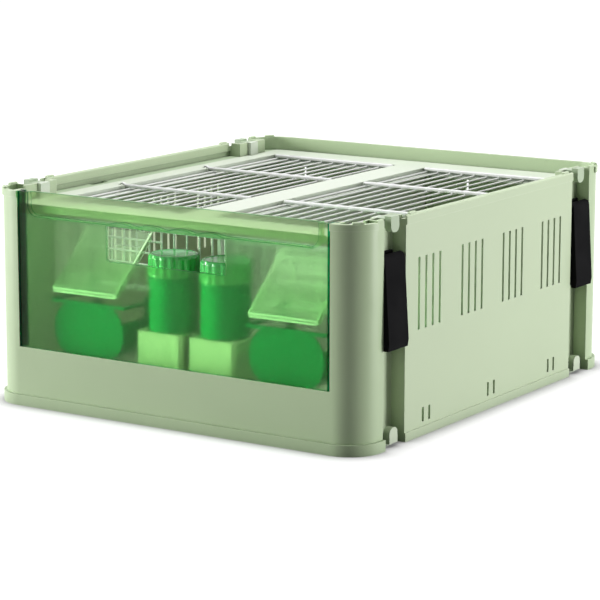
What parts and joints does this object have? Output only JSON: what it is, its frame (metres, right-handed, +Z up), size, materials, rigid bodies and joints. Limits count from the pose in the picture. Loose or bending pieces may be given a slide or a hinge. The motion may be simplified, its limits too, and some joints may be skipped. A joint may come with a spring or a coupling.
{
  "type": "bird carrier",
  "caption": "Low two-compartment travelling cage for birds with wire lids, a clear sliding front window, seed cups and bottle drinkers.",
  "frame": {"origin": "centre of the footprint, on the surface it stands on", "axes": "+X to the right seen from the window side, +Y from the window to the closed back, +Z up"},
  "size_m": [0.422, 0.464, 0.202],
  "materials": {
    "shell": "moulded pale green",
    "panel": "moulded lighter green",
    "tray": "moulded pale green",
    "white_frame": "moulded white",
    "window": "clear green",
    "white_wire": "white coated wire",
    "divider": "moulded",
    "dowel": "turned, plain",
    "cup": "clear green",
    "hood": "clear",
    "trough": "pale green",
    "bottle": "clear green",
    "cap": "green, ribbed",
    "latch_black": "black, satin",
    "steel": "ground pin"
  },
  "bodies": {
    "carrier": {"front_shell": "shell", "rear_shell": "shell", "floor_tray": "tray", "roof_frame": "white_frame", "side_panel_left": "panel", "side_panel_right": "panel", "wire_front": "white_wire", "centre_divider": "divider", "perch_left": "dowel", "perch_right": "dowel", "latch_base_front_left": "latch_black", "latch_base_front_right": "latch_black", "latch_base_rear_left": "latch_black", "latch_base_rear_right": "latch_black", "latch_pin_front_left": "steel", "latch_pin_front_right": "steel", "latch_pin_rear_left": "steel", "latch_pin_rear_right": "steel"},
    "window": {"front_window": "window"},
    "lid_left": {"wire_lid_left": "white_wire"},
    "feeder_left": {"feeder_cup_left": "cup"},
    "hood_left": {"feeder_hood_left": "hood"},
    "drinker_left": {"drinker_trough_left": "trough", "drinker_bottle_left": "bottle"},
    "cap_left": {"drinker_cap_left": "cap"},
    "lever_front_left": {"latch_lever_front_left": "latch_black"},
    "lever_rear_left": {"latch_lever_rear_left": "latch_black"},
    "lid_right": {"wire_lid_right": "white_wire"},
    "feeder_right": {"feeder_cup_right": "cup"},
    "hood_right": {"feeder_hood_right": "hood"},
    "drinker_right": {"drinker_trough_right": "trough", "drinker_bottle_right": "bottle"},
    "cap_right": {"drinker_cap_right": "cap"},
    "lever_front_right": {"latch_lever_front_right": "latch_black"},
    "lever_rear_right": {"latch_lever_rear_right": "latch_black"}
  },
  "joints": [
    {"name": "window_slide", "type": "slide", "parent": "carrier", "child": "window", "axis": [0, 0, 1], "range_m": [0, 0.14]},
    {"name": "lid_hinge_left", "type": "hinge", "parent": "carrier", "child": "lid_left", "pos_m": [-0.1675, 0, 0.18555], "axis": [0, -1, 0], "range_deg": [0, 100]},
    {"name": "feeder_lift_left", "type": "slide", "parent": "carrier", "child": "feeder_left", "axis": [0, 0, 1], "range_m": [0, 0.005]},
    {"name": "hood_hinge_left", "type": "hinge", "parent": "carrier", "child": "hood_left", "pos_m": [-0.104, -0.15675, 0.163], "axis": [-1, 0, 0], "range_deg": [0, 12]},
    {"name": "drinker_pull_left", "type": "slide", "parent": "carrier", "child": "drinker_left", "axis": [0, -1, 0], "range_m": [0, 0.01]},
    {"name": "cap_turn_left", "type": "hinge", "parent": "drinker_left", "child": "cap_left", "pos_m": [-0.0287, -0.1795, 0.139], "axis": [0, 0, 1], "range_deg": [0, 360]},
    {"name": "latch_hinge_front_left", "type": "hinge", "parent": "carrier", "child": "lever_front_left", "pos_m": [-0.1955, -0.1754, 0.163], "axis": [0, 1, 0], "range_deg": [0, 85]},
    {"name": "latch_hinge_rear_left", "type": "hinge", "parent": "carrier", "child": "lever_rear_left", "pos_m": [-0.1955, 0.1754, 0.163], "axis": [0, 1, 0], "range_deg": [0, 85]},
    {"name": "lid_hinge_right", "type": "hinge", "parent": "carrier", "child": "lid_right", "pos_m": [0.1675, 0, 0.18555], "axis": [0, 1, 0], "range_deg": [0, 100]},
    {"name": "feeder_lift_right", "type": "slide", "parent": "carrier", "child": "feeder_right", "axis": [0, 0, 1], "range_m": [0, 0.005]},
    {"name": "hood_hinge_right", "type": "hinge", "parent": "carrier", "child": "hood_right", "pos_m": [0.112, -0.15675, 0.163], "axis": [-1, 0, 0], "range_deg": [0, 12]},
    {"name": "drinker_pull_right", "type": "slide", "parent": "carrier", "child": "drinker_right", "axis": [0, -1, 0], "range_m": [0, 0.01]},
    {"name": "cap_turn_right", "type": "hinge", "parent": "drinker_right", "child": "cap_right", "pos_m": [0.0287, -0.1795, 0.139], "axis": [0, 0, 1], "range_deg": [0, 360]},
    {"name": "latch_hinge_front_right", "type": "hinge", "parent": "carrier", "child": "lever_front_right", "pos_m": [0.1955, -0.1754, 0.163], "axis": [0, -1, 0], "range_deg": [0, 85]},
    {"name": "latch_hinge_rear_right", "type": "hinge", "parent": "carrier", "child": "lever_rear_right", "pos_m": [0.1955, 0.1754, 0.163], "axis": [0, -1, 0], "range_deg": [0, 85]}
  ]
}
